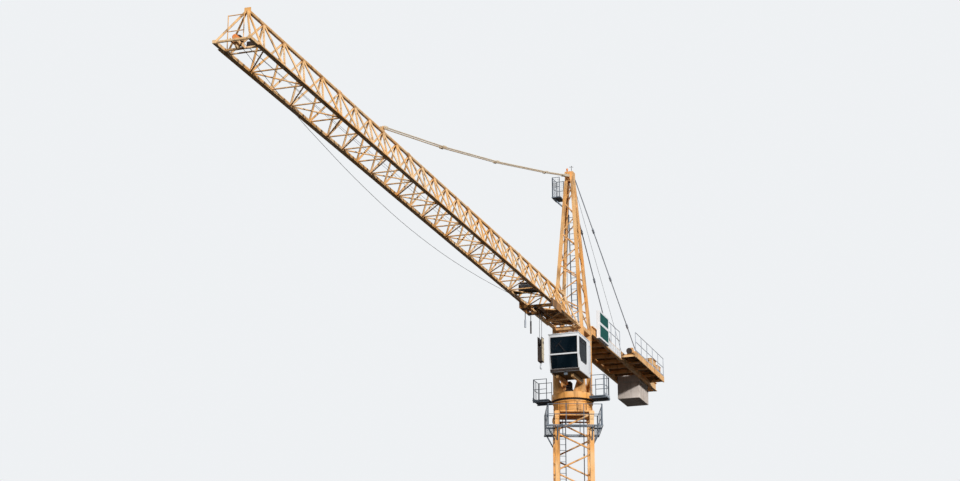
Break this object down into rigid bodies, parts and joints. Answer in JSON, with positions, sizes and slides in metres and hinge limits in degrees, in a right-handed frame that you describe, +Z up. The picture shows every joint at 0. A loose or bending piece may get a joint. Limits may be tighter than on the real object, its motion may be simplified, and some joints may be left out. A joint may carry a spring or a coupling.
{
  "type": "tower crane, scale model at half size",
  "caption": "Top-slewing tower crane with a lattice jib on a tie, a tapering lattice head, an operator's cab, a counter-jib with hanging weights, a trolley and a hook block.",
  "frame": {"origin": "centre of the base frame's flat underside, on the tower's axis", "axes": "+X along the jib at rest, +Z up, +Y to the left of someone looking along the jib"},
  "size_m": [28.05, 3.049, 19.605],
  "materials": {
    "ochre_paint": "weathered satin",
    "galvanised": "galvanised, matt",
    "dark_steel": "greasy, dark",
    "white_paint": "gloss paint",
    "grey_paint": "satin",
    "dark_glass": "tinted",
    "seat_fabric": "woven",
    "tie_paint": "weathered satin",
    "orange_paint": "satin",
    "concrete": "cast, matt",
    "wire_rope": "greased"
  },
  "bodies": {
    "tower": {"base_frame": "ochre_paint", "mast_left_side": "ochre_paint", "mast_right_side": "ochre_paint", "mast_front_bracing": "ochre_paint", "mast_back_bracing": "ochre_paint", "mast_ladder": "galvanised", "gallery_floor": "galvanised", "gallery_railing": "galvanised", "ring_support": "ochre_paint", "slewing_bearing": "dark_steel"},
    "upper": {"turntable": "ochre_paint", "slewing_motor": "grey_paint", "side_platforms": "galvanised", "platform_railings": "galvanised", "cab_shell": "white_paint", "cab_glass": "dark_glass", "cab_seat": "seat_fabric", "cab_support": "ochre_paint", "head_left_side": "ochre_paint", "head_right_side": "ochre_paint", "head_front_bracing": "ochre_paint", "head_back_bracing": "ochre_paint", "head_cap": "ochre_paint", "head_ladder": "galvanised", "head_basket": "galvanised", "jib_left_side": "ochre_paint", "jib_right_side": "ochre_paint", "jib_top_chord": "ochre_paint", "jib_rails": "ochre_paint", "jib_floor_bracing": "ochre_paint", "jib_nose": "ochre_paint", "jib_tie": "tie_paint", "trolley_winch": "dark_steel", "counter_jib_frame": "ochre_paint", "counter_jib_deck": "galvanised", "counter_jib_railing": "galvanised", "counterweights": "concrete", "hoist_winch": "orange_paint", "sign_board": "white_paint", "counter_jib_stays": "tie_paint"},
    "trolley": {"trolley_frame": "dark_steel", "trolley_wheels": "dark_steel", "hoist_falls": "wire_rope"},
    "hook": {"hook_block": "dark_steel", "crane_hook": "grey_paint"}
  },
  "joints": [
    {"name": "slew", "type": "hinge", "parent": "tower", "child": "upper", "pos_m": [0, 0, 13.286], "axis": [0, 0, 1], "continuous": true},
    {"name": "trolley_travel", "type": "slide", "parent": "upper", "child": "trolley", "axis": [1, 0, 0], "range_m": [-0.83, 17]},
    {"name": "hoist", "type": "slide", "parent": "trolley", "child": "hook", "axis": [0, 0, 1], "range_m": [-13.2, 0.5], "deforming": ["hoist_falls"]}
  ]
}
